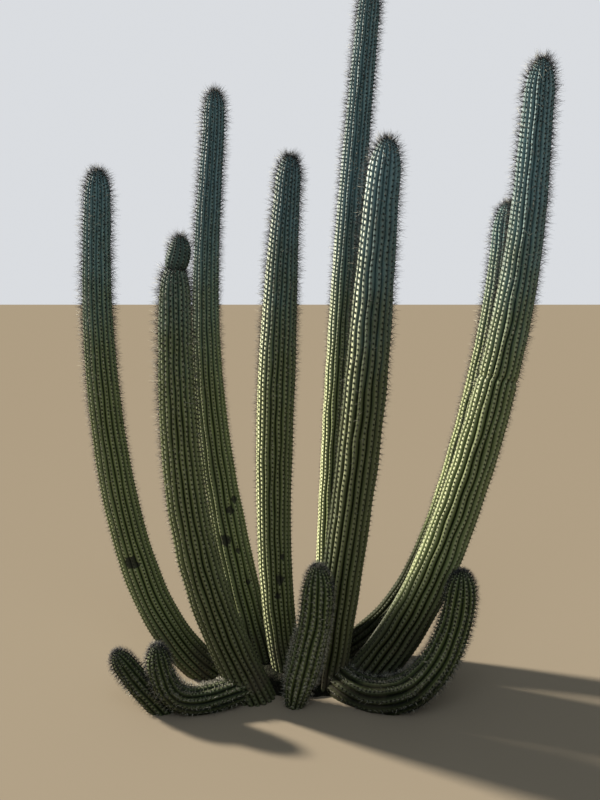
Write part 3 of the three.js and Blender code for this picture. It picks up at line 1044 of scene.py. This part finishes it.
def insideOthers(points, own):
    hidden = np.zeros(len(points), bool)
    for other in stems:
        if other is own:
            continue
        places = np.linspace(0, other["placeTable"][-1], hiding["steps"])
        radii = np.interp(places, other["placeTable"], other["radiusTable"]) * hiding["share"]
        gaps = np.linalg.norm(points[:, None, :] - onRoute(other, places)[None], axis=-1) - radii[None]
        hidden |= gaps.min(axis=1) < 0
    for centre, radii in crown["lumps"]:
        shifted = (points * 1000 - np.array(centre)) / (np.array(radii) - hiding["crownRoom"])
        hidden |= np.linalg.norm(shifted, axis=1) < 1
    return hidden


def spreadAxes(normal, ahead, across, tilt, turn, long, thick):
    lean = np.cos(turn)[:, None] * ahead + np.sin(turn)[:, None] * across
    point = np.cos(tilt)[:, None] * normal + np.sin(tilt)[:, None] * lean
    # any direction across the spine will do
    first = unit(np.cross(point, lean + 0.3 * across + 0.1 * ahead))
    second = np.cross(point, first)
    return np.stack([first * thick[:, None], second * thick[:, None], point * long[:, None]], axis=1)


def spineGrowth(stem, v):
    if stem["skin"] == "young":
        return np.full(len(v), spine["youngGrowth"])
    toTip = (1 - v) * stem["rows"] * stem["rowStep"] / 1000
    grown = np.clip((v - spine["growthFrom"]) / spine["growthOver"], 0, 1)
    return (spine["oldGrowth"] + (1 - spine["oldGrowth"]) * grown
            + spine["tipGain"] * np.clip(1 - toTip / spine["tipGainOver"], 0, 1)
            - spine["tipLoss"] * np.clip(1 - toTip / spine["tipLossOver"], 0, 1))


def spinesThatStay(stem, v, point):
    grown = spine["oldShare"] + (1 - spine["oldShare"]) * np.clip(v / spine["oldShareOver"], 0, 1)
    staying = {"grown": grown, "young": 1, "head": spine["headShare"]}[stem["skin"]]
    return np.where(point[:, 2] < spine["footHeight"], spine["footShare"], staying)


def keepInRoom(point, axes):
    end = point[:, 1] + axes[:, 2, 1]
    reach = np.clip(end, yLow - spine["sideRoom"], yHigh + spine["sideRoom"]) - point[:, 1]
    fit = np.where(np.abs(end - point[:, 1]) > 1e-4, reach / (end - point[:, 1] + 1e-9), 1)
    axes[:, 2] *= np.clip(fit, spine["shortest"], 1)[:, None]


def growOn(stem, draw):
    u, v = areolesOf(stem)
    point, normal, ahead, across = frameAt(stem, u, v)
    keep = (point[:, 2] > pad["lowest"]) & ~insideOthers(point, stem) & (scarAt(stem, u, v) < pad["mostScar"])
    v, point, normal, ahead, across = v[keep], point[keep], normal[keep], ahead[keep], across[keep]
    count = len(v)
    size = draw.uniform(*pad["sizes"], count)[:, None]
    axes = np.stack([across * pad["across"] * size, ahead * pad["across"] * pad["longer"] * size,
                     normal * pad["tall"] * size], axis=1)
    heaps.setdefault(("pads", stem["side"]), []).append((point - normal * pad["sink"], axes))

    growth, staying = spineGrowth(stem, v), spinesThatStay(stem, v, point)
    low, high = stem.get("mix", spineMix[stem["skin"]])
    changeFrom, changeOver = mixStretch[stem["skin"]]
    upward = np.clip((v - changeFrom) / changeOver, 0, 1)
    greyUpTo = low[0] + (high[0] - low[0]) * upward
    ashUpTo = greyUpTo + low[1] + (high[1] - low[1]) * upward
    young = stem["skin"] == "young"
    slimness = spine["slim"][0] + spine["slim"][1] * growth
    for group in ("radial", "central"):
        facts = spine[group]
        spineCount = facts["youngCount" if young else "count"]
        girth = facts["youngThick"] if young else facts["thick"] * slimness
        for place in range(spineCount):
            turn = 2 * math.pi * (place + draw.uniform(*spine["turnRange"], count)) / spineCount
            if group == "central":
                turn = draw.uniform(0, 2 * math.pi, count)
            tilt = np.radians(draw.uniform(*facts["tilt"], count))
            long = draw.uniform(*facts["long"], count) * growth
            thick = girth * draw.uniform(*spine["thickRange"], count)
            axes = spreadAxes(normal, ahead, across, tilt, turn, long, thick)
            keepInRoom(point, axes)
            clear = (draw.random(count) < staying) & (point[:, 2] + axes[:, 2, 2] > spine["groundRoom"])
            lot = draw.random(count)
            chosen = (lot > greyUpTo).astype(int) + (lot > ashUpTo)
            for index, kind in enumerate(spineColours):
                picked = clear & (chosen == index)
                heaps.setdefault((kind, stem["side"]), []).append((point[picked], axes[picked]))
    print("spines on", stem["name"], count, "areoles")


yLow, yHigh = cadBox[0][1], cadBox[1][1]
heaps = {}
for number, stem in enumerate(stems):
    growOn(stem, np.random.default_rng(seeds["spines"] + number))

shapes = {kind: smallSpike(3) for kind in spineColours}
paints = {kind: plainPaint(kind, colour, spine["roughness"], spine["gloss"])
          for kind, colour in spineColours.items()}
shapes["pads"] = smallSpike(5)
paints["pads"] = plainPaint("pads", pad["colour"], pad["roughness"], pad["gloss"])
for (kind, side), parts in heaps.items():
    bases = np.concatenate([part[0] for part in parts])
    axes = np.concatenate([part[1] for part in parts])
    name = kind + side.capitalize()
    piece = addPiece(name, joinCopies(name, shapes[kind], bases, axes), paints[kind])
    print(name, len(piece.data.polygons), "triangles")


print("done")
